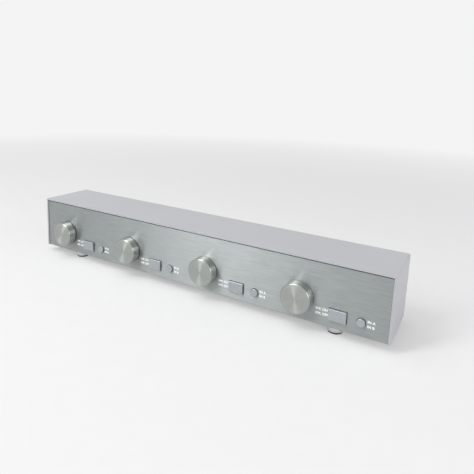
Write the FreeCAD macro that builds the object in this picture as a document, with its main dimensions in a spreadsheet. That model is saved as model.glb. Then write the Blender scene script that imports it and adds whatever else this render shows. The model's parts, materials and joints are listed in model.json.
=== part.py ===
import FreeCAD, Part
import math
import os
import re

import Sketcher
from FreeCAD import Placement, Rotation, Vector

# Speaker selector switch: a wide, low case with four volume knobs, four zone
# buttons and four source buttons on the front, and six terminal blocks behind.
# Millimetres. The origin is on the resting plane under the middle of the case,
# +X runs along the case, -Y is the front and +Z is up.

# Driving dimensions: cell alias, size, meaning
SIZES = [
    ("case_width", 430.0, "cover, over both sides"),
    ("case_depth", 66.0, "front edge of the cover to the rear panel"),
    ("case_height", 62.0, "cover, without the feet"),
    ("cover_wall", 2.0, "aluminium sheet of the cover"),
    ("cover_bend", 1.5, "outer radius of the cover's two long bends"),
    ("cover_flange", 10.0, "width of the cover's rear return flanges"),
    ("panel_inset", 0.8, "front panel behind the cover's front edge"),
    ("panel_gap", 0.2, "slit between front panel and the cover's sides"),
    ("panel_top_gap", 1.0, "slit between front panel and the cover's top"),
    ("panel_thickness", 3.0, "front panel"),
    ("sheet_wall", 1.2, "steel sheet of the chassis tray and rear panel"),
    ("tray_gap", 0.2, "tray and rear panel to the cover's sides"),
    ("flange_height", 58.0, "front flange of the tray"),
    ("flange_inset", 6.0, "front flange short of the tray's ends"),
    ("lip_height", 12.0, "rear and side lips of the tray"),
    ("first_knob", 37.5, "left end of the case to the first knob"),
    ("channel_pitch", 103.0, "one channel to the next"),
    ("knob_level", 22.8, "knob axis above the case's lower edge"),
    ("zone_offset", 37.4, "knob axis to zone button"),
    ("source_offset", 58.0, "knob axis to source button"),
    ("button_level", 13.4, "button axes above the case's lower edge"),
    ("knob_diameter", 29.0, "turned knob"),
    ("knob_reach", 10.0, "knob face in front of the case"),
    ("knob_gap", 0.5, "knob skirt to front panel"),
    ("knob_chamfer", 0.8, "front edge of the knob"),
    ("knob_recess", 19.0, "diameter of the recess over the nut"),
    ("knob_recess_depth", 3.8, "depth of that recess"),
    ("knob_face_wall", 2.0, "metal in front of the shaft"),
    ("shaft_diameter", 6.0, "volume control shaft"),
    ("shaft_fit", 0.05, "radial running clearance in the bushing"),
    ("grip_fit", 0.02, "radial clearance of the knob on its shaft"),
    ("shaft_flat", 0.75, "depth of the flat on the shaft"),
    ("rotor_diameter", 19.0, "contact rotor on the shaft"),
    ("rotor_thickness", 2.5, "contact rotor"),
    ("control_diameter", 26.0, "volume switch housing"),
    ("control_length", 14.0, "volume switch housing"),
    ("control_wall", 2.0, "volume switch housing"),
    ("bushing_diameter", 9.0, "threaded bushing"),
    ("bushing_length", 7.4, "threaded bushing"),
    ("bushing_play", 0.1, "radial play of the bushing in its holes"),
    ("washer_diameter", 14.0, "bushing washer"),
    ("washer_thickness", 0.5, "bushing washer"),
    ("nut_across", 12.0, "bushing nut across its flats"),
    ("nut_thickness", 2.2, "bushing nut"),
    ("zone_width", 16.0, "zone button"),
    ("zone_height", 10.8, "zone button"),
    ("source_diameter", 7.5, "source button"),
    ("button_reach", 2.2, "button face in front of the panel"),
    ("button_length", 4.7, "button cap"),
    ("button_gap", 0.4, "slit round a button"),
    ("flange_play", 0.5, "button in its opening in the tray's flange"),
    ("button_edge", 0.25, "chamfer of a button's face"),
    ("stem_length", 9.8, "button stem"),
    ("stem_fit", 0.1, "stem to the wall of its switch"),
    ("zone_stem", 4.0, "square stem of a zone button"),
    ("source_stem", 3.0, "square stem of a source button"),
    ("push_length", 12.5, "push switch housing"),
    ("push_floor", 1.5, "closed rear wall of a push switch"),
    ("zone_switch_width", 12.0, "push switch of a zone button"),
    ("zone_switch_height", 11.0, "push switch of a zone button"),
    ("source_switch_width", 9.5, "square push switch of a source button"),
    ("board_thickness", 1.6, "both circuit boards"),
    ("front_board_width", 412.0, "front board"),
    ("front_board_top", 40.0, "front board above the case's lower edge"),
    ("rear_board_width", 392.0, "terminal board"),
    ("rear_board_low", 15.0, "terminal board above the case's lower edge"),
    ("rear_board_height", 27.0, "terminal board"),
    ("core_width", 42.0, "laminated core of an autoformer"),
    ("core_height", 35.0, "laminated core"),
    ("core_stack", 16.0, "laminated core, front to back"),
    ("core_yoke", 7.0, "yokes and outer legs of the core"),
    ("core_leg", 14.0, "middle leg of the core"),
    ("core_centre", 7.3, "core behind the middle of the case"),
    ("coil_slack", 0.3, "coil to the middle leg and to the outer legs"),
    ("coil_short", 0.6, "coil shorter than its window"),
    ("coil_reach", 6.3, "coil in front of and behind the core"),
    ("strap_wall", 1.2, "steel strap over a core"),
    ("strap_foot", 9.0, "foot of the strap at each side"),
    ("terminal_pitch", 7.62, "way to way in a terminal block"),
    ("terminal_reach", 10.0, "block behind the rear panel"),
    ("terminal_height", 14.0, "terminal block"),
    ("terminal_level", 28.0, "block's middle above the case's lower edge"),
    ("terminal_spacing", 66.0, "block to block"),
    ("terminal_play", 0.2, "block in the rear panel's opening"),
    ("collar_width", 1.8, "collar round a block"),
    ("collar_thickness", 1.2, "collar round a block"),
    ("entry_side", 3.4, "square wire entry"),
    ("entry_depth", 9.0, "square wire entry"),
    ("entry_drop", 3.0, "wire entry below the block's middle"),
    ("well_back", 5.0, "screw well from the block's rear face"),
    ("well_diameter", 4.4, "screw well"),
    ("well_depth", 2.6, "screw well"),
    ("well_throat", 3.0, "narrow part of the screw well"),
    ("clamp_head", 4.2, "terminal screw head"),
    ("clamp_head_height", 1.5, "terminal screw head"),
    ("clamp_shank", 2.6, "terminal screw shank"),
    ("clamp_length", 3.0, "terminal screw shank"),
    ("screw_head", 5.6, "pan head"),
    ("screw_head_height", 1.8, "pan head"),
    ("screw_shank", 2.9, "case screw"),
    ("screw_length", 5.0, "case screw under its head"),
    ("screw_hole", 3.2, "clearance hole"),
    ("recess_width", 0.7, "arm of a cross recess and width of a slot"),
    ("recess_depth", 0.9, "cross recess and slot"),
    ("lip_screw_span", 180.0, "rear panel screws into the tray's lip"),
    ("flange_screw_inset", 7.0, "rear panel screws from the case's ends"),
    ("flange_screw_low", 16.0, "lower screws into the cover's flanges"),
    ("flange_screw_high", 48.0, "upper screws into the cover's flanges"),
    ("foot_height", 8.0, "case above the resting plane"),
    ("foot_diameter", 16.0, "foot cup"),
    ("foot_chamfer", 0.8, "lower edge of the foot cup"),
    ("foot_inset_x", 50.5, "foot from the case's end"),
    ("foot_inset_y", 13.0, "foot from the case's front and rear"),
    ("pad_diameter", 13.5, "rubber ring in the foot cup"),
    ("pad_thickness", 2.5, "rubber ring"),
    ("pad_reach", 1.5, "rubber ring below the foot cup"),
    ("pad_play", 0.1, "radial play of the rubber ring"),
    ("foot_well", 7.0, "screw well of the foot"),
    ("foot_well_roof", 4.5, "roof of the screw well above the resting plane"),
    ("foot_screw_length", 8.0, "foot screw under its head"),
]

CHANNELS = 4
TERMINAL_BLOCKS = ["input_terminal_a", "input_terminal_b", "zone_terminal_1",
                   "zone_terminal_2", "zone_terminal_3", "zone_terminal_4"]
WAYS = 4
ENDS = (-1, 1)

doc = FreeCAD.newDocument("speaker_selector")
sheet = doc.addObject("Spreadsheet::Sheet", "Sizes")
for row, (alias, size, meaning) in enumerate(SIZES, start=1):
    sheet.set(f"A{row}", alias)
    sheet.set(f"B{row}", str(size))
    sheet.setAlias(f"B{row}", alias)
    sheet.set(f"C{row}", meaning)
doc.recompute()

# Planes across the case, as sums of the cells, along +Y
PANEL_FACE = "(panel_inset - case_depth / 2)"
PANEL_BACK = f"({PANEL_FACE} + panel_thickness)"
FLANGE_BACK = f"({PANEL_BACK} + sheet_wall)"
BUSHING_END = f"({FLANGE_BACK} - bushing_length)"
BOARD_FACE = f"({FLANGE_BACK} + control_length)"
KNOB_FACE = "(-case_depth / 2 - knob_reach)"
KNOB_BACK = f"({PANEL_FACE} - knob_gap)"
BUTTON_FACE = f"({PANEL_FACE} - button_reach)"
STEM_START = f"({BUTTON_FACE} + button_length)"
REAR_FACE = "(case_depth / 2)"
REAR_INNER = f"({REAR_FACE} - sheet_wall)"
TERMINAL_END = f"({REAR_FACE} + terminal_reach)"
TERMINAL_START = f"({REAR_INNER} - 2 * board_thickness)"
TRAY_HALF = "(case_width / 2 - cover_wall - tray_gap)"


def cells(text):
    """Turn a sum of aliases into a spreadsheet expression."""
    return re.sub(r"[a-z][a-z_]+", lambda word: "Sizes." + word.group(), text)


def size(text):
    """Work out a sum of aliases as a number."""
    value = sheet.evalExpression(cells(text))
    return float(getattr(value, "Value", value))


def knob_place(channel):
    """Channel axis from the middle of the case, as a sum of the cells."""
    return f"(first_knob - case_width / 2 + {channel} * channel_pitch)"


def bind(item, path, text):
    item.setExpression(path, cells(text))


# Sketches: rectangles, circles and hexagons held by signed distances


def hold(sketch, kind, geometry, point, text):
    """Fix one coordinate of a point of the sketch to a sum of the cells."""
    index = sketch.addConstraint(Sketcher.Constraint(kind, -1, 1, geometry, point, size(text)))
    bind(sketch, f"Constraints[{index}]", text)


def rectangle(sketch, left, right, low, high):
    x0, x1, y0, y1 = size(left), size(right), size(low), size(high)
    corners = [Vector(x0, y0), Vector(x1, y0), Vector(x1, y1), Vector(x0, y1)]
    first = sketch.GeometryCount
    for side in range(4):
        sketch.addGeometry(Part.LineSegment(corners[side], corners[(side + 1) % 4]), False)
    for side in range(4):
        after = first + (side + 1) % 4
        sketch.addConstraint(Sketcher.Constraint("Coincident", first + side, 2, after, 1))
        direction = "Vertical" if side % 2 else "Horizontal"
        sketch.addConstraint(Sketcher.Constraint(direction, first + side))
    hold(sketch, "DistanceX", first, 1, left)
    hold(sketch, "DistanceX", first + 1, 2, right)
    hold(sketch, "DistanceY", first, 1, low)
    hold(sketch, "DistanceY", first + 1, 2, high)


def disc(sketch, x, y, diameter):
    geometry = sketch.addGeometry(
        Part.Circle(Vector(size(x), size(y)), Vector(0, 0, 1), size(diameter) / 2), False)
    hold(sketch, "DistanceX", geometry, 3, x)
    hold(sketch, "DistanceY", geometry, 3, y)
    index = sketch.addConstraint(Sketcher.Constraint("Diameter", geometry, size(diameter)))
    bind(sketch, f"Constraints[{index}]", diameter)


DRAW = {"box": rectangle, "disc": disc}


def new_body(label, x="0", y="0", z="foot_height"):
    body = doc.addObject("PartDesign::Body", label)
    body.Label = label
    bind(body, "Placement.Base.x", x)
    bind(body, "Placement.Base.y", y)
    bind(body, "Placement.Base.z", z)
    return body


def draw_on(body, plane, at, outlines):
    """Sketch the outlines on one of the body's own planes, moved along its axis."""
    sketch = body.newObject("Sketcher::SketchObject", f"{body.Name}_outline")
    support = next(item for item in body.Origin.OriginFeatures if item.Role == plane)
    sketch.AttachmentSupport = [(support, "")]
    sketch.MapMode = "FlatFace"
    sign = "-1" if plane == "XZ_Plane" else "1"
    bind(sketch, "AttachmentOffset.Base.z", f"{sign} * ({at})")
    for kind, *numbers in outlines:
        DRAW[kind](sketch, *numbers)
    sketch.Visibility = False
    return sketch


def add(body, plane, at, length, outlines):
    """Pad the outlines from the plane towards the positive axis."""
    feature = body.newObject("PartDesign::Pad", f"{body.Name}_pad")
    feature.Profile = draw_on(body, plane, at, outlines)
    feature.Reversed = plane == "XZ_Plane"
    bind(feature, "Length", length)
    doc.recompute()
    return feature


def cut(body, plane, at, length, outlines):
    """Pocket the outlines from the plane towards the positive axis."""
    before = body.Shape.Volume
    feature = body.newObject("PartDesign::Pocket", f"{body.Name}_pocket")
    feature.Profile = draw_on(body, plane, at, outlines)
    feature.Reversed = plane != "XZ_Plane"
    bind(feature, "Length", length)
    doc.recompute()
    if body.Shape.Volume >= before:
        raise RuntimeError(f"{body.Label}: a pocket cuts nothing")
    return feature


def dress(body, kind, amount, chosen):
    """Fillet or chamfer the edges that the test chooses."""
    base = body.Tip
    names = [f"Edge{n}" for n, edge in enumerate(base.Shape.Edges, start=1) if chosen(edge)]
    feature = body.newObject(f"PartDesign::{kind}", f"{body.Name}_{kind.lower()}")
    feature.Base = (base, names)
    bind(feature, "Radius" if kind == "Fillet" else "Size", amount)
    doc.recompute()
    return feature


def in_plane(edge, axis, at):
    """True for an edge that lies wholly in a plane across the given axis."""
    box = edge.BoundBox
    low, high = getattr(box, axis + "Min"), getattr(box, axis + "Max")
    return abs(low - at) < 0.01 and abs(high - at) < 0.01


def group(label, solid, places):
    """Put separate copies of one small piece into one node."""
    item = doc.addObject("Part::Feature", label)
    item.Label = label
    copies = []
    for place in places:
        copy = solid.copy()
        copy.Placement = place
        copies.append(copy)
    item.Shape = Part.makeCompound(copies)
    item.Placement = Placement()
    return item


# Case: tray, cover, front panel and rear panel


def panel_openings(play, button_play):
    """Openings for bushings and buttons, shared by front panel and tray."""
    outlines = []
    for channel in range(CHANNELS):
        x = knob_place(channel)
        zone = f"({x} + zone_offset)"
        outlines.append(("disc", x, "knob_level", f"bushing_diameter + 2 * {play}"))
        outlines.append(("box", f"{zone} - zone_width / 2 - {button_play}",
                         f"{zone} + zone_width / 2 + {button_play}",
                         f"button_level - zone_height / 2 - {button_play}",
                         f"button_level + zone_height / 2 + {button_play}"))
        outlines.append(("disc", f"{x} + source_offset", "button_level",
                         f"source_diameter + 2 * {button_play}"))
    return outlines


def strap_holes():
    """Middles of the strap screws, as pairs of sums of the cells."""
    reach = "(core_width / 2 + strap_wall + strap_foot / 2)"
    return [(f"{core_place(channel)} + {side} * {reach}", "core_centre")
            for channel in range(CHANNELS) for side in ENDS]


def foot_places():
    return [(f"{side} * (case_width / 2 - foot_inset_x)",
             f"{end} * (case_depth / 2 - foot_inset_y)")
            for end in ENDS for side in ENDS]


def core_place(channel):
    return f"({channel - (CHANNELS - 1) / 2} * channel_pitch)"


def terminal_place(index):
    return f"({index - (len(TERMINAL_BLOCKS) - 1) / 2} * terminal_spacing)"


def lip_screw_places():
    return [(f"{side} * lip_screw_span / 2 * {share}", "lip_height / 2")
            for side in ENDS for share in (1, 2)]


def flange_screw_places():
    return [(f"{side} * (case_width / 2 - flange_screw_inset)", level)
            for side in ENDS for level in ("flange_screw_low", "flange_screw_high")]


def chassis_tray():
    body = new_body("chassis_tray")
    add(body, "XY_Plane", "0", "sheet_wall",
        [("box", f"-{TRAY_HALF}", TRAY_HALF, PANEL_BACK, REAR_INNER)])
    flange_half = f"({TRAY_HALF} - flange_inset)"
    add(body, "XZ_Plane", PANEL_BACK, "sheet_wall",
        [("box", f"-{flange_half}", flange_half, "0", "flange_height")])
    add(body, "XZ_Plane", f"{REAR_INNER} - sheet_wall", "sheet_wall",
        [("box", f"-{flange_half} + cover_flange", f"{flange_half} - cover_flange",
          "0", "lip_height")])
    side_end = f"({REAR_INNER} - cover_wall - panel_gap)"
    for start in (f"-{TRAY_HALF}", f"{TRAY_HALF} - sheet_wall"):
        add(body, "YZ_Plane", start, "sheet_wall",
            [("box", PANEL_BACK, side_end, "0", "lip_height")])
    cut(body, "XZ_Plane", PANEL_BACK, "sheet_wall", panel_openings("bushing_play", "flange_play"))
    cut(body, "XY_Plane", "0", "sheet_wall",
        [("disc", x, y, "screw_hole") for x, y in strap_holes() + foot_places()])
    cut(body, "XZ_Plane", f"{REAR_INNER} - sheet_wall", "sheet_wall",
        [("disc", x, z, "screw_hole") for x, z in lip_screw_places()])


def top_cover():
    body = new_body("top_cover")
    add(body, "XZ_Plane", f"-{REAR_FACE}", "case_depth",
        [("box", "-case_width / 2", "case_width / 2", "0", "case_height")])
    dress(body, "Fillet", "cover_bend",
          lambda edge: in_plane(edge, "Z", size("case_height"))
          and abs(edge.BoundBox.XMax - edge.BoundBox.XMin) < 0.01)
    inner = "(case_width / 2 - cover_wall)"
    cut(body, "XZ_Plane", f"-{REAR_FACE}", "case_depth",
        [("box", f"-{inner}", inner, "0", "case_height - cover_wall")])
    low = "(sheet_wall + panel_gap)"
    high = "(case_height - cover_wall)"
    add(body, "XZ_Plane", f"{REAR_INNER} - cover_wall", "cover_wall",
        [("box", f"-{inner}", f"-{inner} + cover_flange", low, high),
         ("box", f"{inner} - cover_flange", inner, low, high)])
    cut(body, "XZ_Plane", f"{REAR_INNER} - cover_wall", "cover_wall",
        [("disc", x, z, "screw_hole") for x, z in flange_screw_places()])


def front_panel():
    body = new_body("front_panel")
    half = "(case_width / 2 - cover_wall - panel_gap)"
    add(body, "XZ_Plane", PANEL_FACE, "panel_thickness",
        [("box", f"-{half}", half, "0", "case_height - cover_wall - panel_top_gap")])
    cut(body, "XZ_Plane", PANEL_FACE, "panel_thickness",
        panel_openings("bushing_play", "button_gap"))


def rear_panel():
    body = new_body("rear_panel")
    add(body, "XZ_Plane", REAR_INNER, "sheet_wall",
        [("box", f"-{TRAY_HALF}", TRAY_HALF, "0",
          "case_height - cover_wall - tray_gap")])
    half = f"({WAYS} * terminal_pitch / 2 + terminal_play)"
    rise = "(terminal_height / 2 + terminal_play)"
    cut(body, "XZ_Plane", REAR_INNER, "sheet_wall",
        [("box", f"{terminal_place(n)} - {half}", f"{terminal_place(n)} + {half}",
          f"terminal_level - {rise}", f"terminal_level + {rise}")
         for n in range(len(TERMINAL_BLOCKS))])
    cut(body, "XZ_Plane", REAR_INNER, "sheet_wall",
        [("disc", x, z, "screw_hole") for x, z in lip_screw_places() + flange_screw_places()])


# Channels: knob, shaft, volume switch, two buttons and their switches


def knob(channel):
    body = new_body(f"knob_{channel + 1}", knob_place(channel), z="foot_height + knob_level")
    bore_end = f"({KNOB_FACE} + knob_face_wall)"
    recess_start = f"({KNOB_BACK} - knob_recess_depth)"
    grip = "(shaft_diameter / 2 + grip_fit)"
    add(body, "XZ_Plane", KNOB_FACE, f"{KNOB_BACK} - {KNOB_FACE}",
        [("disc", "0", "0", "knob_diameter")])
    dress(body, "Chamfer", "knob_chamfer",
          lambda edge: in_plane(edge, "Y", size(KNOB_FACE)))
    cut(body, "XZ_Plane", recess_start, "knob_recess_depth",
        [("disc", "0", "0", "knob_recess")])
    cut(body, "XZ_Plane", bore_end, f"{recess_start} - {bore_end}",
        [("disc", "0", "0", f"2 * {grip}")])
    add(body, "XZ_Plane", bore_end, f"{recess_start} - {bore_end}",
        [("box", f"-{grip} * 0.8", f"{grip} * 0.8", f"{grip} - shaft_flat", f"{grip} + 1")])


def volume_shaft(channel):
    body = new_body(f"volume_shaft_{channel + 1}", knob_place(channel),
                    z="foot_height + knob_level")
    start = f"({KNOB_FACE} + knob_face_wall)"
    tail = f"({BOARD_FACE} - 1)"
    flat_end = f"({BUSHING_END} - 1)"
    add(body, "XZ_Plane", start, f"{tail} - {start}",
        [("disc", "0", "0", "shaft_diameter")])
    add(body, "XZ_Plane", f"{FLANGE_BACK} + 2 * control_wall", "rotor_thickness",
        [("disc", "0", "0", "rotor_diameter")])
    cut(body, "XZ_Plane", start, f"{flat_end} - {start}",
        [("box", "-shaft_diameter / 2", "shaft_diameter / 2",
          "shaft_diameter / 2 - shaft_flat", "shaft_diameter / 2 + 1")])


def volume_switch(channel):
    body = new_body(f"volume_switch_{channel + 1}", knob_place(channel),
                    z="foot_height + knob_level")
    add(body, "XZ_Plane", FLANGE_BACK, "control_length",
        [("disc", "0", "0", "control_diameter")])
    add(body, "XZ_Plane", BUSHING_END, "bushing_length",
        [("disc", "0", "0", "bushing_diameter")])
    cut(body, "XZ_Plane", f"{FLANGE_BACK} + control_wall", "control_length",
        [("disc", "0", "0", "control_diameter - 2 * control_wall")])
    cut(body, "XZ_Plane", BUSHING_END, "bushing_length + control_length",
        [("disc", "0", "0", "shaft_diameter + 2 * shaft_fit")])


def bushing_hardware():
    """Washers and hexagon nuts that hold the front panel on the four bushings."""
    hole = size("bushing_diameter / 2 + bushing_play")
    back = Vector(0, 1, 0)
    washer = Part.makeCylinder(size("washer_diameter / 2"), size("washer_thickness"), Vector(), back)
    washer = washer.cut(Part.makeCylinder(hole, size("washer_thickness"), Vector(), back))
    corner = size("nut_across") / math.sqrt(3)
    turns = [math.radians(60 * step) for step in range(7)]
    ring = Part.makePolygon([Vector(corner * math.cos(a), 0, corner * math.sin(a)) for a in turns])
    nut = Part.Face(ring).extrude(Vector(0, size("nut_thickness"), 0))
    nut = nut.cut(Part.makeCylinder(hole, size("nut_thickness"), Vector(), back))
    level = size("foot_height + knob_level")
    washer_y = size(f"{PANEL_FACE} - washer_thickness")
    nut_y = size(f"{PANEL_FACE} - washer_thickness - nut_thickness")
    spots = [size(knob_place(channel)) for channel in range(CHANNELS)]
    group("bushing_washers", washer,
          [Placement(Vector(x, washer_y, level), Rotation()) for x in spots])
    group("bushing_nuts", nut, [Placement(Vector(x, nut_y, level), Rotation()) for x in spots])


def zone_button(channel):
    body = new_body(f"zone_button_{channel + 1}", f"{knob_place(channel)} + zone_offset",
                    z="foot_height + button_level")
    add(body, "XZ_Plane", BUTTON_FACE, "button_length",
        [("box", "-zone_width / 2", "zone_width / 2", "-zone_height / 2", "zone_height / 2")])
    dress(body, "Chamfer", "button_edge",
          lambda edge: in_plane(edge, "Y", size(BUTTON_FACE)))
    add(body, "XZ_Plane", STEM_START, "stem_length",
        [("box", "-zone_stem / 2", "zone_stem / 2", "-zone_stem / 2", "zone_stem / 2")])


def source_button(channel):
    body = new_body(f"source_button_{channel + 1}", f"{knob_place(channel)} + source_offset",
                    z="foot_height + button_level")
    add(body, "XZ_Plane", BUTTON_FACE, "button_length",
        [("disc", "0", "0", "source_diameter")])
    dress(body, "Chamfer", "button_edge",
          lambda edge: in_plane(edge, "Y", size(BUTTON_FACE)))
    add(body, "XZ_Plane", STEM_START, "stem_length",
        [("box", "-source_stem / 2", "source_stem / 2", "-source_stem / 2", "source_stem / 2")])


def push_switch(label, channel, offset, width, height, stem):
    """A latching switch: a block with a blind square hole for the button's stem."""
    body = new_body(label, f"{knob_place(channel)} + {offset}", z="foot_height + button_level")
    start = f"({BOARD_FACE} - push_length)"
    hole = f"({stem} / 2 + stem_fit)"
    add(body, "XZ_Plane", start, "push_length",
        [("box", f"-{width} / 2", f"{width} / 2", f"-{height} / 2", f"{height} / 2")])
    cut(body, "XZ_Plane", start, "push_length - push_floor",
        [("box", f"-{hole}", hole, f"-{hole}", hole)])


# Inside: circuit boards and autoformers


def board(label, face, half, low, high):
    body = new_body(label)
    add(body, "XZ_Plane", face, "board_thickness", [("box", f"-{half}", half, low, high)])


def autoformer(channel):
    core = new_body(f"autoformer_core_{channel + 1}", core_place(channel), "core_centre",
                    "foot_height + sheet_wall")
    outer = "(core_width / 2 - core_yoke)"
    window_top = "(core_height - core_yoke)"
    add(core, "XZ_Plane", "-core_stack / 2", "core_stack",
        [("box", "-core_width / 2", "core_width / 2", "0", "core_height")])
    cut(core, "XZ_Plane", "-core_stack / 2", "core_stack",
        [("box", f"-{outer}", "-core_leg / 2", "core_yoke", window_top),
         ("box", "core_leg / 2", outer, "core_yoke", window_top)])
    coil = new_body(f"autoformer_coil_{channel + 1}", core_place(channel), "core_centre",
                    "foot_height + sheet_wall")
    half_x = f"({outer} - coil_slack)"
    half_y = "(core_stack / 2 + coil_reach)"
    hole_x = "(core_leg / 2 + coil_slack)"
    hole_y = "(core_stack / 2 + coil_slack)"
    add(coil, "XY_Plane", "core_yoke", "core_height - 2 * core_yoke - coil_short",
        [("box", f"-{half_x}", half_x, f"-{half_y}", half_y)])
    cut(coil, "XY_Plane", "core_yoke", "core_height",
        [("box", f"-{hole_x}", hole_x, f"-{hole_y}", hole_y)])


def autoformer_straps():
    """Steel straps over the cores, with a drilled foot at each side."""
    wall = size("strap_wall")
    half = size("core_width / 2")
    tall = size("core_height")
    deep = size("core_stack")
    foot = size("strap_foot")
    hole_x = half + wall + foot / 2
    strap = Part.makeBox(2 * (half + wall), deep, wall, Vector(-half - wall, -deep / 2, tall))
    for side in ENDS:
        leg_x = half if side > 0 else -half - wall
        foot_x = half + wall if side > 0 else -half - wall - foot
        leg = Part.makeBox(wall, deep, tall, Vector(leg_x, -deep / 2, 0))
        plate = Part.makeBox(foot, deep, wall, Vector(foot_x, -deep / 2, 0))
        hole = Part.makeCylinder(size("screw_hole / 2"), wall, Vector(side * hole_x, 0, 0))
        strap = strap.fuse(leg).fuse(plate.cut(hole))
    level = size("foot_height + sheet_wall")
    group("autoformer_straps", strap.removeSplitter(),
          [Placement(Vector(size(core_place(n)), size("core_centre"), level), Rotation())
           for n in range(CHANNELS)])


# Rear: terminal blocks


def terminal_block(index, label):
    body = new_body(label, terminal_place(index), z="foot_height + terminal_level")
    half = f"({WAYS} * terminal_pitch / 2)"
    rise = "(terminal_height / 2)"
    entry = "(entry_side / 2)"
    ways = [f"({n - (WAYS - 1) / 2} * terminal_pitch)" for n in range(WAYS)]
    well_y = f"({TERMINAL_END} - well_back)"
    add(body, "XZ_Plane", TERMINAL_START, f"{TERMINAL_END} - {TERMINAL_START}",
        [("box", f"-{half}", half, f"-{rise}", rise)])
    add(body, "XZ_Plane", REAR_FACE, "collar_thickness",
        [("box", f"-{half} - collar_width", f"{half} + collar_width",
          f"-{rise} - collar_width", f"{rise} + collar_width")])
    cut(body, "XZ_Plane", f"{TERMINAL_END} - entry_depth", "entry_depth",
        [("box", f"{x} - {entry}", f"{x} + {entry}",
          f"-entry_drop - {entry}", f"-entry_drop + {entry}") for x in ways])
    cut(body, "XY_Plane", f"{rise} - well_depth", "well_depth",
        [("disc", x, well_y, "well_diameter") for x in ways])
    cut(body, "XY_Plane", "-entry_drop", f"{rise} + entry_drop",
        [("disc", x, well_y, "well_throat") for x in ways])


# Fasteners and feet


def screw(head, head_height, shank, length, slots):
    """A screw along +Z, with the underside of its head at the origin."""
    width, depth = size("recess_width"), size("recess_depth")
    body = Part.makeCylinder(shank / 2, length)
    body = body.fuse(Part.makeCylinder(head / 2, head_height, Vector(0, 0, -head_height)))
    arm = 0.7 * head
    for turn in slots:
        slot = Part.makeBox(arm, width, depth, Vector(-arm / 2, -width / 2, -head_height))
        slot.rotate(Vector(), Vector(0, 0, 1), turn)
        body = body.cut(slot)
    return body


def fasteners():
    pan = [size("screw_head"), size("screw_head_height"), size("screw_shank")]
    case_screw = screw(*pan, size("screw_length"), (0, 90))
    foot_screw = screw(*pan, size("foot_screw_length"), (0, 90))
    clamp_screw = screw(size("clamp_head"), size("clamp_head_height"), size("clamp_shank"),
                        size("clamp_length"), (0,))
    forward = Rotation(Vector(1, 0, 0), 90)
    upward = Rotation()
    downward = Rotation(Vector(1, 0, 0), 180)
    base = size("foot_height")
    places = [Placement(Vector(size(x), size(REAR_FACE), base + size(z)), forward)
              for x, z in lip_screw_places() + flange_screw_places()]
    places += [Placement(Vector(size(x), size(y), base), upward) for x, y in strap_holes()]
    group("case_screws", case_screw, places)
    group("foot_screws", foot_screw,
          [Placement(Vector(size(x), size(y), size("foot_well_roof")), upward)
           for x, y in foot_places()])
    shoulder = size("foot_height + terminal_level + terminal_height / 2 - well_depth")
    well_y = size(f"{TERMINAL_END} - well_back")
    places = []
    for index in range(len(TERMINAL_BLOCKS)):
        for way in range(WAYS):
            x = size(f"{terminal_place(index)} + {way - (WAYS - 1) / 2} * terminal_pitch")
            places.append(Placement(Vector(x, well_y, shoulder), downward))
    group("terminal_screws", clamp_screw, places)


def feet():
    """Foot cups, and the rubber rings that sit in them."""
    names = ["foot_front_left", "foot_front_right", "foot_rear_left", "foot_rear_right"]
    for label, (x, y) in zip(names, foot_places()):
        body = new_body(label, x, y, "0")
        middle = ("0", "0")
        add(body, "XY_Plane", "pad_reach", "foot_height - pad_reach",
            [("disc", *middle, "foot_diameter")])
        dress(body, "Chamfer", "foot_chamfer",
              lambda edge: in_plane(edge, "Z", size("pad_reach")))
        cut(body, "XY_Plane", "pad_reach", "pad_thickness - pad_reach",
            [("disc", *middle, "pad_diameter + 2 * pad_play")])
        cut(body, "XY_Plane", "pad_reach", "foot_well_roof - pad_reach",
            [("disc", *middle, "foot_well")])
        cut(body, "XY_Plane", "pad_reach", "foot_height", [("disc", *middle, "screw_hole")])
    ring = Part.makeCylinder(size("pad_diameter / 2"), size("pad_thickness"))
    ring = ring.cut(Part.makeCylinder(size("foot_well / 2"), size("pad_thickness")))
    group("foot_pads", ring,
          [Placement(Vector(size(x), size(y), 0), Rotation()) for x, y in foot_places()])


chassis_tray()
top_cover()
front_panel()
rear_panel()
for number in range(CHANNELS):
    knob(number)
    volume_shaft(number)
    volume_switch(number)
    zone_button(number)
    source_button(number)
    push_switch(f"zone_switch_{number + 1}", number, "zone_offset",
                "zone_switch_width", "zone_switch_height", "zone_stem")
    push_switch(f"source_switch_{number + 1}", number, "source_offset",
                "source_switch_width", "source_switch_width", "source_stem")
    autoformer(number)
bushing_hardware()
autoformer_straps()
board("front_board", BOARD_FACE, "(front_board_width / 2)", "sheet_wall", "front_board_top")
board("terminal_board", f"({TERMINAL_START} - board_thickness)", "(rear_board_width / 2)",
      "rear_board_low", "rear_board_low + rear_board_height")
for number, terminal_name in enumerate(TERMINAL_BLOCKS):
    terminal_block(number, terminal_name)
fasteners()
feet()
doc.recompute()

# Check every object, then write one STEP file per piece
for item in doc.Objects:
    if any(word in item.State for word in ("Invalid", "Error")):
        raise RuntimeError(f"{item.Label}: {item.State}")
os.makedirs("parts", exist_ok=True)
pieces = [item for item in doc.Objects
          if item.TypeId in ("PartDesign::Body", "Part::Feature")]
for piece in pieces:
    if piece.Shape.isNull() or not piece.Shape.isValid():
        raise RuntimeError(f"{piece.Label}: bad shape")
    piece.Shape.exportStep(f"parts/{piece.Label}.step")
print(len(pieces), "pieces,", sum(len(piece.Shape.Solids) for piece in pieces), "solids")
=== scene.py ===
import json
import math

import bmesh
import bpy
from mathutils import Euler, Matrix, Vector


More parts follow.
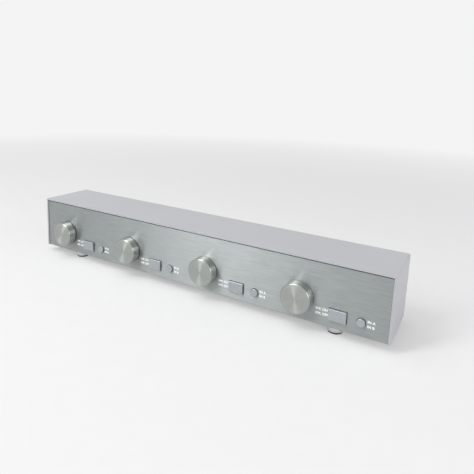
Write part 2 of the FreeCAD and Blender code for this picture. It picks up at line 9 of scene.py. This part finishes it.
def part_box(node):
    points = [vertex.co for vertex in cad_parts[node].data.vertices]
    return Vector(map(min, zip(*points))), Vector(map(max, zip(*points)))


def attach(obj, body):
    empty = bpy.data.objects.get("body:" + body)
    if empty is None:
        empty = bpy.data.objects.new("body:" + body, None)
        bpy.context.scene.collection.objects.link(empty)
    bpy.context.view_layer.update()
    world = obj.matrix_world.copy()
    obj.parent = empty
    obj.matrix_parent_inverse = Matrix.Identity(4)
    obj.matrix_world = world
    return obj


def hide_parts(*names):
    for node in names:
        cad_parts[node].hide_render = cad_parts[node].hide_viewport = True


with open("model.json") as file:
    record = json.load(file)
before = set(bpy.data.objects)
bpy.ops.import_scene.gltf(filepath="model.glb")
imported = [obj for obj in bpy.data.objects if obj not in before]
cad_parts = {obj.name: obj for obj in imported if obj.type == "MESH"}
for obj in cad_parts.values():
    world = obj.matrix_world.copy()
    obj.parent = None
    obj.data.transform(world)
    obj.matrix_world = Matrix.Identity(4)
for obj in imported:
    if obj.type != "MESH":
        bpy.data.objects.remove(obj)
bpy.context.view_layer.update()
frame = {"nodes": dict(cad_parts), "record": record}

MM = 0.001
CHANNELS = 4

# Camera: where it stands, how it is turned, and its lens
CAMERA_PLACE = Vector((268.0, -418.3, 218.5)) * MM
CAMERA_TURN = (79.68, -1.81, 31.52)
CAMERA_LENS = 35.03
CAMERA_SENSOR = 36
CAMERA_SHIFT = (0.0509, -0.1397)
CAMERA_CLIP = 0.01

# Base colours, linear
PANEL_SILVER = (0.355, 0.38, 0.378)
COVER_SILVER = (0.475, 0.48, 0.505)
KNOB_SILVER = (0.405, 0.425, 0.405)
BUTTON_SILVER = (0.41, 0.44, 0.455)
FOOT_SILVER = (0.60, 0.62, 0.63)
STEEL_ZINC = (0.52, 0.53, 0.54)
NICKEL = (0.62, 0.61, 0.58)
RUBBER_BLACK = (0.020, 0.020, 0.021)
TERMINAL_BLACK = (0.022, 0.024, 0.027)
HOUSING_GREY = (0.035, 0.035, 0.038)
BOARD_GREEN = (0.02, 0.12, 0.045)
COIL_YELLOW = (0.62, 0.42, 0.05)
LAMINATION_GREY = (0.06, 0.06, 0.065)
PRINT_WHITE = (0.90, 0.91, 0.92)
PRINT_DARK = (0.05, 0.055, 0.06)
FLOOR_PALE = (0.80, 0.80, 0.80)
BACKDROP_PALE = (0.90, 0.90, 0.90)
SURROUND_GREY = (0.62, 0.62, 0.63)

# Quarter turn from the brush lines to the highlights
BRUSH_TURN = 0.25

# Edges: roundings, the steps they take, and how near counts as the same place
COVER_EDGE = 0.25 * MM
PANEL_EDGE = 0.12 * MM
PANEL_LOWER_EDGE = 1.0 * MM
REAR_EDGE = 0.2 * MM
BUTTON_EDGE = 0.12 * MM
FOOT_EDGE = 0.3 * MM
EDGE_SEGMENTS = 2
LOWER_EDGE_SEGMENTS = 4
EDGE_ANGLE = math.radians(40)
NEAR = 0.01 * MM
CAD_WELD = 0.000002
PRINT_WELD = 0.000001

# Knob: rounded rim, flat cone of the face, and the recess and bore behind
KNOB_RIM = 1.0 * MM
KNOB_FALL = 0.3 * MM
KNOB_FACE_RINGS = (0.04, 0.4, 0.8, 0.98)
KNOB_RIM_STEPS = 6
KNOB_SIDE_RING = 0.6
KNOB_BACK_EDGE = 0.3 * MM
KNOB_BACK_RISE = 0.35 * MM
KNOB_RECESS_RADIUS = 9.5 * MM
KNOB_RECESS_DEPTH = 3.8 * MM
KNOB_BORE_RADIUS = 3.05 * MM
KNOB_FACE_WALL = 2 * MM

# Printed words: their thickness, size, boldness and distance from what they name
PRINT_THICKNESS = 0.04 * MM
FRONT_WORD_SIZE = 3.2 * MM
FRONT_WORD_BOLD = 0.16 * MM
REAR_WORD_SIZE = 3.3 * MM
REAR_WORD_BOLD = 0.08 * MM
LINE_DROP = 4.4 * MM
FRONT_WORD_UP = 1.1 * MM
ZONE_WORD_ALONG = -20.6 * MM
SOURCE_WORD_ALONG = 5.3 * MM
TITLE_UP = 1.6 * MM
POLE_DOWN = 7.2 * MM
POLES = ("L+", "L-", "R+", "R-")
TERMINAL_COLLAR = 1.8 * MM

# Lamps in metres: name, place, the point they face, size, watts
LAMPS = (
    ("front_left_strip", (-0.66, -1.08, 1.1), (0.0, -0.03, 0.03), (0.40, 1.3), 16.0),
    ("top_panel", (-0.25, -0.25, 1.3), (0, 0, 0.05), (1.2, 0.8), 6.0),
    ("right_card", (1.3, 0.1, 0.5), (0.2, 0, 0.03), (0.8, 0.8), 4.0),
    ("rim_lamp", (1.05, -0.62, 0.33), (0.0, -0.03, 0.03), (0.14, 0.14), 2.5),
)
SURROUND_STRENGTH = 0.55

# Floor in metres: its half width, and where its glow grows from the near share to all
FLOOR_REACH = 6.0
GLOW_NEAR_SHARE = 0.35
GLOW_FROM = 0.35
GLOW_TO = 1.6


# Materials


class Finish:
    """A procedural material: a Principled shader and the nodes that feed it."""

    def __init__(self, name, metallic=0.0, roughness=0.5):
        self.material = bpy.data.materials.new(name)
        self.material.use_nodes = True
        self.tree = self.material.node_tree
        self.shader = self.tree.nodes["Principled BSDF"]
        self.shader.inputs["Metallic"].default_value = metallic
        self.shader.inputs["Roughness"].default_value = roughness
        places = self.node("ShaderNodeTexCoord")
        self.place = places.outputs["Object"]
        self.turned = places.outputs["UV"]

    def node(self, kind, **settings):
        made = self.tree.nodes.new(kind)
        for key, value in settings.items():
            setattr(made, key, value)
        return made

    def link(self, source, target):
        self.tree.links.new(source, target)

    def noise(self, stretch, scale=1.0, detail=3.0, around=False):
        """Noise on coordinates that are multiplied along each axis."""
        mapping = self.node("ShaderNodeMapping")
        mapping.inputs["Scale"].default_value = stretch
        self.link(self.turned if around else self.place, mapping.inputs["Vector"])
        made = self.node("ShaderNodeTexNoise")
        made.inputs["Scale"].default_value = scale
        made.inputs["Detail"].default_value = detail
        self.link(mapping.outputs["Vector"], made.inputs["Vector"])
        return made.outputs["Fac"]

    def spread(self, factor, low, high, from_low=0.3, from_high=0.7):
        """Map a texture's middle range to a range of values."""
        made = self.node("ShaderNodeMapRange")
        made.inputs["From Min"].default_value = from_low
        made.inputs["From Max"].default_value = from_high
        made.inputs["To Min"].default_value = low
        made.inputs["To Max"].default_value = high
        self.link(factor, made.inputs["Value"])
        return made.outputs["Result"]

    def tint(self, factor, colour, low, high):
        """Base colour times a factor that runs from low to high."""
        made = self.node("ShaderNodeMix", data_type="RGBA")
        made.inputs["A"].default_value = (*[c * low for c in colour], 1)
        made.inputs["B"].default_value = (*[min(1, c * high) for c in colour], 1)
        self.link(self.spread(factor, 0.0, 1.0), made.inputs["Factor"])
        self.link(made.outputs["Result"], self.shader.inputs["Base Color"])

    def rough(self, factor, low, high):
        self.link(self.spread(factor, low, high), self.shader.inputs["Roughness"])

    def bump(self, height, distance, strength=1.0):
        made = self.node("ShaderNodeBump")
        made.inputs["Strength"].default_value = strength
        made.inputs["Distance"].default_value = distance
        self.link(height, made.inputs["Height"])
        self.link(made.outputs["Normal"], self.shader.inputs["Normal"])

    def brushed(self, axis, share, turn=0.0):
        """Draw the highlights out, on lines that run round the axis."""
        made = self.node("ShaderNodeTangent", direction_type="RADIAL", axis=axis)
        self.shader.inputs["Anisotropic"].default_value = share
        self.shader.inputs["Anisotropic Rotation"].default_value = turn
        self.link(made.outputs["Tangent"], self.shader.inputs["Tangent"])


def brushed_panel():
    """Short fine scratches along X over longer, softer streaks."""
    finish = Finish("brushed_panel", metallic=1.0, roughness=0.38)
    scratches = finish.noise((110, 2600, 2600), detail=3.0)
    streaks = finish.noise((45, 900, 900), detail=3.0)
    finish.tint(streaks, PANEL_SILVER, 0.91, 1.09)
    finish.rough(scratches, 0.32, 0.46)
    finish.bump(scratches, 0.00002, 0.35)
    finish.brushed("Z", 0.9, BRUSH_TURN)
    return finish.material


def satin_cover():
    finish = Finish("satin_cover", metallic=0.35, roughness=0.45)
    grain = finish.noise((1, 1, 1), 5200.0, 2.0)
    cloud = finish.noise((1, 1, 1), 9.0, 2.0)
    finish.tint(cloud, COVER_SILVER, 0.98, 1.02)
    finish.rough(grain, 0.40, 0.50)
    finish.bump(grain, 0.000004, 0.3)
    return finish.material


def turned_knob():
    """Machined rings: the first coordinate runs along the knob's profile."""
    finish = Finish("turned_knob", metallic=1.0, roughness=0.38)
    rings = finish.noise((9000, 0.5, 0), detail=2.0, around=True)
    bands = finish.noise((700, 0.5, 0), detail=2.0, around=True)
    finish.tint(bands, KNOB_SILVER, 0.93, 1.05)
    finish.rough(rings, 0.33, 0.43)
    finish.bump(rings, 0.000004, 0.3)
    finish.brushed("Y", 0.85, BRUSH_TURN)
    finish.shader.inputs["Coat Weight"].default_value = 0.35
    finish.shader.inputs["Coat Roughness"].default_value = 0.10
    return finish.material


def plain(name, colour, metallic, roughness, grain=4000.0, depth=0.000004, change=0.04):
    """A moulded, plated or painted surface with a fine grain."""
    finish = Finish(name, metallic=metallic, roughness=roughness)
    fine = finish.noise((1, 1, 1), grain, 2.0)
    broad = finish.noise((1, 1, 1), grain / 20, 2.0)
    finish.tint(broad, colour, 1 - change, 1 + change)
    finish.rough(fine, roughness * 0.9, min(1.0, roughness * 1.1))
    finish.bump(fine, depth, 0.3)
    return finish.material


FINISHES = {
    "brushed_aluminium": brushed_panel(),
    "satin_aluminium": satin_cover(),
    "turned_aluminium": turned_knob(),
    "silver_button": plain("silver_button", BUTTON_SILVER, 0.85, 0.48),
    "foot_silver": plain("foot_silver", FOOT_SILVER, 0.7, 0.30),
    "black_rubber": plain("black_rubber", RUBBER_BLACK, 0.0, 0.75, 1500.0, 0.00003, 0.2),
    "zinc_plated_steel": plain("zinc_plated_steel", STEEL_ZINC, 0.9, 0.38, 1800.0, 0.00001, 0.10),
    "zinc_screw": plain("zinc_screw", STEEL_ZINC, 1.0, 0.30, 3000.0),
    "nickel_plate": plain("nickel_plate", NICKEL, 1.0, 0.24, 3000.0),
    "switch_housing": plain("switch_housing", HOUSING_GREY, 0.0, 0.5),
    "circuit_board": plain("circuit_board", BOARD_GREEN, 0.0, 0.35, 2000.0),
    "lamination_steel": plain("lamination_steel", LAMINATION_GREY, 0.4, 0.5, 2500.0),
    "coil_tape": plain("coil_tape", COIL_YELLOW, 0.0, 0.4),
    "terminal_black": plain("terminal_black", TERMINAL_BLACK, 0.0, 0.42, 2600.0, 0.00001, 0.2),
}
WHITE_PRINT = plain("white_print", PRINT_WHITE, 0.0, 0.45)
DARK_PRINT = plain("dark_print", PRINT_DARK, 0.0, 0.5)

for entry in frame["record"]["subparts"]:
    node = frame["nodes"][entry["node"]]
    node.data.materials.clear()
    node.data.materials.append(FINISHES[entry["material_slot"]])


# Pieces


def keep_piece(name, mesh, body, material):
    """Put a finished mesh into the scene as a piece that rides on a body."""
    piece = bpy.data.objects.new(name, mesh)
    bpy.context.scene.collection.objects.link(piece)
    mesh.materials.clear()
    mesh.materials.append(material)
    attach(piece, body)
    return piece


def finished_mesh(holder):
    """The holder's mesh with its modifiers applied; the holder is removed."""
    bpy.context.view_layer.update()
    graph = bpy.context.evaluated_depsgraph_get()
    made = bpy.data.meshes.new_from_object(holder.evaluated_get(graph))
    bpy.data.objects.remove(holder)
    return made


def softened(node, body, slot, width, lower_front=0.0):
    """A copy of a CAD node with its edges rounded; its lower front edge can be rounder."""
    mesh = frame["nodes"][node].data.copy()
    work = bmesh.new()
    work.from_mesh(mesh)
    bmesh.ops.remove_doubles(work, verts=work.verts, dist=CAD_WELD)
    bmesh.ops.dissolve_limit(work, angle_limit=math.radians(1), verts=work.verts, edges=work.edges)
    if lower_front:
        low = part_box(node)[0]
        edge = [e for e in work.edges if all(
            abs(v.co.y - low[1]) < NEAR and abs(v.co.z - low[2]) < NEAR for v in e.verts)]
        bmesh.ops.bevel(work, geom=edge, offset=lower_front, segments=LOWER_EDGE_SEGMENTS,
                        profile=0.5, affect="EDGES")
    work.to_mesh(mesh)
    work.free()
    holder = bpy.data.objects.new(node + "_work", mesh)
    bpy.context.scene.collection.objects.link(holder)
    bevel = holder.modifiers.new("edges", "BEVEL")
    bevel.width = width
    bevel.segments = EDGE_SEGMENTS
    bevel.limit_method = "ANGLE"
    bevel.angle_limit = EDGE_ANGLE
    bevel.harden_normals = True
    piece = keep_piece(node + "_finish", finished_mesh(holder), body, FINISHES[slot])
    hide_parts(node)


def lathed(profile, centre, steps=96):
    """Turn a profile of (radius, place along Y) round an axis along Y."""
    work = bmesh.new()
    layer = work.loops.layers.uv.new("turned")
    run = [0.0]
    for (r0, y0), (r1, y1) in zip(profile, profile[1:]):
        run.append(run[-1] + math.hypot(r1 - r0, y1 - y0))
    rings = []
    for radius, y in profile:
        if radius == 0:
            rings.append([work.verts.new((centre.x, y, centre.z))] * steps)
            continue
        turns = [2 * math.pi * n / steps for n in range(steps)]
        rings.append([work.verts.new((centre.x + radius * math.cos(a), y,
                                      centre.z + radius * math.sin(a))) for a in turns])
    for row in range(len(profile) - 1):
        for n in range(steps):
            after = (n + 1) % steps
            corners = [(rings[row][n], row, n), (rings[row][after], row, n + 1),
                       (rings[row + 1][after], row + 1, n + 1), (rings[row + 1][n], row + 1, n)]
            kept = []
            for corner in corners:
                if all(corner[0] is not other[0] for other in kept):
                    kept.append(corner)
            face = work.faces.new([corner[0] for corner in kept])
            face.smooth = True
            for loop, (_, place, turn) in zip(face.loops, kept):
                loop[layer].uv = (run[place], turn / steps)
    bmesh.ops.recalc_face_normals(work, faces=work.faces)
    mesh = bpy.data.meshes.new("lathed")
    work.to_mesh(mesh)
    work.free()
    mesh.set_sharp_from_angle(angle=math.radians(28))
    return mesh


def knob_finish(channel):
    """A turned knob with a rounded rim and a face that is a very flat cone."""
    node = f"knob_{channel}"
    low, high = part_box(node)
    centre = Vector(((low[0] + high[0]) / 2, 0, (low[2] + high[2]) / 2))
    radius = (high[0] - low[0]) / 2
    face, back = low[1], high[1]
    rim, fall = KNOB_RIM, KNOB_FALL
    recess = back - KNOB_RECESS_DEPTH
    bottom = face + KNOB_FACE_WALL
    profile = [(0, face)]
    profile += [((radius - rim) * share, face + fall * share) for share in KNOB_FACE_RINGS]
    for step in range(KNOB_RIM_STEPS + 1):
        a = math.radians(90 * step / KNOB_RIM_STEPS)
        profile.append((radius - rim + rim * math.sin(a), face + fall + rim - rim * math.cos(a)))
    profile += [(radius, face + KNOB_SIDE_RING * (back - face)), (radius, back - KNOB_BACK_RISE),
                (radius - KNOB_BACK_EDGE, back), (KNOB_RECESS_RADIUS, back),
                (KNOB_RECESS_RADIUS, recess), (KNOB_BORE_RADIUS, recess),
                (KNOB_BORE_RADIUS, bottom), (0, bottom)]
    piece = keep_piece(f"{node}_turned", lathed(profile, centre), f"volume_knob_{channel}",
                       FINISHES["turned_aluminium"])
    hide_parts(node)


# Printed words: letters from text, repeated along the front by Geometry Nodes


def row_tree():
    """Copies of the incoming mesh at even steps, as one mesh of one material."""
    tree = bpy.data.node_groups.new("row_of_words", "GeometryNodeTree")
    face = tree.interface
    face.new_socket("Geometry", in_out="INPUT", socket_type="NodeSocketGeometry")
    for label, kind in (("Repeats", "Int"), ("Repeat Step", "Vector"), ("Ink", "Material")):
        face.new_socket(label, in_out="INPUT", socket_type=f"NodeSocket{kind}")
    face.new_socket("Geometry", in_out="OUTPUT", socket_type="NodeSocketGeometry")
    given = tree.nodes.new("NodeGroupInput").outputs
    result = tree.nodes.new("NodeGroupOutput").inputs["Geometry"]
    spots = tree.nodes.new("GeometryNodeMeshLine")
    copies = tree.nodes.new("GeometryNodeInstanceOnPoints")
    solid = tree.nodes.new("GeometryNodeRealizeInstances")
    inked = tree.nodes.new("GeometryNodeSetMaterial")
    for source, target in (
            (given["Repeats"], spots.inputs["Count"]),
            (given["Repeat Step"], spots.inputs["Offset"]),
            (spots.outputs["Mesh"], copies.inputs["Points"]),
            (given["Geometry"], copies.inputs["Instance"]),
            (copies.outputs["Instances"], solid.inputs["Geometry"]),
            (solid.outputs["Geometry"], inked.inputs["Geometry"]),
            (given["Ink"], inked.inputs["Material"]),
            (inked.outputs["Geometry"], result)):
        tree.links.new(source, target)
    return tree


ROW_TREE = row_tree()


def letters(text, size, bold, middle):
    """The text as a flat mesh with a little thickness; bold widens its strokes."""
    words = bpy.data.curves.new("words", "FONT")
    words.body = text
    words.size = size
    words.offset = bold
    words.extrude = PRINT_THICKNESS / 2
    words.resolution_u = 4
    words.space_character = 1.04
    words.align_x = "CENTER" if middle else "LEFT"
    holder = bpy.data.objects.new("words", words)
    bpy.context.scene.collection.objects.link(holder)
    return finished_mesh(holder)


def printed(name, lines, place, behind=False, size=FRONT_WORD_SIZE, bold=FRONT_WORD_BOLD,
            repeats=1, step=0.0, ink=WHITE_PRINT):
    """Words on the front or rear panel, each a (text, along, up) from the place."""
    work = bmesh.new()
    for text, along, up in lines:
        mesh = letters(text, size, bold, behind)
        mesh.transform(Matrix.Translation((along, up, 0)))
        work.from_mesh(mesh)
    bmesh.ops.remove_doubles(work, verts=work.verts, dist=PRINT_WELD)
    mesh = bpy.data.meshes.new(name)
    work.to_mesh(mesh)
    work.free()
    holder = bpy.data.objects.new(name + "_work", mesh)
    bpy.context.scene.collection.objects.link(holder)
    modifier = holder.modifiers.new("row", "NODES")
    modifier.node_group = ROW_TREE
    values = {"Repeats": repeats, "Repeat Step": (step, 0, 0), "Ink": ink}
    for socket in ROW_TREE.interface.items_tree:
        if socket.in_out == "INPUT" and socket.name in values:
            modifier[socket.identifier] = values[socket.name]
    mesh = finished_mesh(holder)
    turn = Matrix.Rotation(math.pi if behind else 0, 4, "Z") @ Matrix.Rotation(math.pi / 2, 4, "X")
    mesh.transform(Matrix.Translation(place) @ turn)
    return keep_piece(name, mesh, "case", ink)


def middle(node):
    low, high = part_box(node)
    return (Vector(low) + Vector(high)) / 2


softened("top_cover", "case", "satin_aluminium", COVER_EDGE)
softened("front_panel", "case", "brushed_aluminium", PANEL_EDGE, lower_front=PANEL_LOWER_EDGE)
softened("rear_panel", "case", "satin_aluminium", REAR_EDGE)
for channel in range(1, CHANNELS + 1):
    knob_finish(channel)
    softened(f"zone_button_{channel}", f"zone_key_{channel}", "silver_button", BUTTON_EDGE)
    softened(f"source_button_{channel}", f"source_key_{channel}", "silver_button", BUTTON_EDGE)
for name in ("foot_front_left", "foot_front_right", "foot_rear_left", "foot_rear_right"):
    softened(name, "case", "foot_silver", FOOT_EDGE)

panel_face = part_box("front_panel")[0][1]
rear_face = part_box("rear_panel")[1][1]
first_zone = middle("zone_button_1")
first_source = middle("source_button_1")
channel_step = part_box("zone_button_2")[0][0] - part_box("zone_button_1")[0][0]
printed("front_zone_words", [("SPK ON", 0, 0), ("SPK OFF", 0, -LINE_DROP)],
        Vector((first_zone.x + ZONE_WORD_ALONG, panel_face, first_zone.z + FRONT_WORD_UP)),
        repeats=CHANNELS, step=channel_step)
printed("front_source_words", [("IN A", 0, 0), ("IN B", 0, -LINE_DROP)],
        Vector((first_source.x + SOURCE_WORD_ALONG, panel_face, first_source.z + FRONT_WORD_UP)),
        repeats=CHANNELS, step=channel_step)

titles = {"input_terminal_a": "INPUT A", "input_terminal_b": "INPUT B"}
titles.update({f"zone_terminal_{n}": f"ZONE {n}" for n in range(1, CHANNELS + 1)})
for name, title in titles.items():
    low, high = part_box(name)
    way = (high[0] - low[0] - 2 * TERMINAL_COLLAR) / len(POLES)
    lines = [(title, 0, high[2] - low[2] + TITLE_UP)]
    lines += [(pole, (n - (len(POLES) - 1) / 2) * way, -POLE_DOWN) for n, pole in enumerate(POLES)]
    printed(f"rear_{name}_words", lines, Vector(((low[0] + high[0]) / 2, rear_face, low[2])),
            behind=True, ink=DARK_PRINT, size=REAR_WORD_SIZE, bold=REAR_WORD_BOLD)


# Light, floor and camera


def softbox(name, place, target, size, watts):
    """A rectangular lamp that faces the target."""
    data = bpy.data.lights.new(name, "AREA")
    data.shape = "RECTANGLE"
    data.size, data.size_y = size
    data.energy = watts
    lamp = bpy.data.objects.new(name, data)
    lamp.location = place
    lamp.rotation_euler = (Vector(target) - Vector(place)).to_track_quat("-Z", "Y").to_euler()
    bpy.context.scene.collection.objects.link(lamp)


def seen_rays(nodes, links):
    """1 for the rays that show the backdrop: to the camera, and off or through a surface."""
    ray = nodes.new("ShaderNodeLightPath")
    total = ray.outputs["Is Camera Ray"]
    for kind in ("Is Glossy Ray", "Is Transmission Ray"):
        both = nodes.new("ShaderNodeMath")
        both.operation = "ADD"
        both.use_clamp = True
        links.new(total, both.inputs[0])
        links.new(ray.outputs[kind], both.inputs[1])
        total = both.outputs["Value"]
    return total


def studio_world():
    """Even light from all round; the camera and reflections see a pale backdrop."""
    world = bpy.data.worlds.new("studio")
    bpy.context.scene.world = world
    world.use_nodes = True
    nodes, links = world.node_tree.nodes, world.node_tree.links
    around = nodes["Background"]
    around.inputs["Color"].default_value = (*SURROUND_GREY, 1)
    around.inputs["Strength"].default_value = SURROUND_STRENGTH
    pale = nodes.new("ShaderNodeBackground")
    pale.inputs["Color"].default_value = (*BACKDROP_PALE, 1)
    mix = nodes.new("ShaderNodeMixShader")
    links.new(seen_rays(nodes, links), mix.inputs["Fac"])
    links.new(around.outputs["Background"], mix.inputs[1])
    links.new(pale.outputs["Background"], mix.inputs[2])
    links.new(mix.outputs["Shader"], nodes["World Output"].inputs["Surface"])


def studio_floor():
    """A pale floor that takes shadows near the object and fades into the backdrop."""
    finish = Finish("floor_paper", roughness=0.9)
    paper = finish.noise((1, 1, 1), 60.0, 2.0)
    finish.tint(paper, FLOOR_PALE, 0.99, 1.01)
    away = finish.node("ShaderNodeVectorMath", operation="LENGTH")
    finish.link(finish.place, away.inputs[0])
    fade = finish.spread(away.outputs["Value"], GLOW_NEAR_SHARE, 1.0, GLOW_FROM, GLOW_TO)
    share = finish.node("ShaderNodeMath", operation="MULTIPLY")
    finish.link(fade, share.inputs[0])
    finish.link(seen_rays(finish.tree.nodes, finish.tree.links), share.inputs[1])
    glow = finish.node("ShaderNodeEmission")
    glow.inputs["Color"].default_value = (*BACKDROP_PALE, 1)
    mix = finish.node("ShaderNodeMixShader")
    finish.link(share.outputs["Value"], mix.inputs["Fac"])
    finish.link(finish.shader.outputs["BSDF"], mix.inputs[1])
    finish.link(glow.outputs["Emission"], mix.inputs[2])
    finish.link(mix.outputs["Shader"], finish.tree.nodes["Material Output"].inputs["Surface"])
    reach = FLOOR_REACH
    mesh = bpy.data.meshes.new("floor")
    mesh.from_pydata([(-reach, -reach, 0), (reach, -reach, 0), (reach, reach, 0), (-reach, reach, 0)],
                     [], [(0, 1, 2, 3)])
    mesh.materials.append(finish.material)
    floor = bpy.data.objects.new("floor", mesh)
    bpy.context.scene.collection.objects.link(floor)


for lamp_settings in LAMPS:
    softbox(*lamp_settings)
studio_world()
studio_floor()

camera_data = bpy.data.cameras.new("camera")
camera_data.sensor_width = CAMERA_SENSOR
camera_data.lens = CAMERA_LENS
camera_data.shift_x, camera_data.shift_y = CAMERA_SHIFT
camera_data.clip_start = CAMERA_CLIP
camera = bpy.data.objects.new("camera", camera_data)
camera.location = CAMERA_PLACE
camera.rotation_euler = Euler([math.radians(turn) for turn in CAMERA_TURN], "XYZ")
bpy.context.scene.collection.objects.link(camera)
bpy.context.scene.camera = camera

bpy.context.scene.view_settings.view_transform = "Standard"
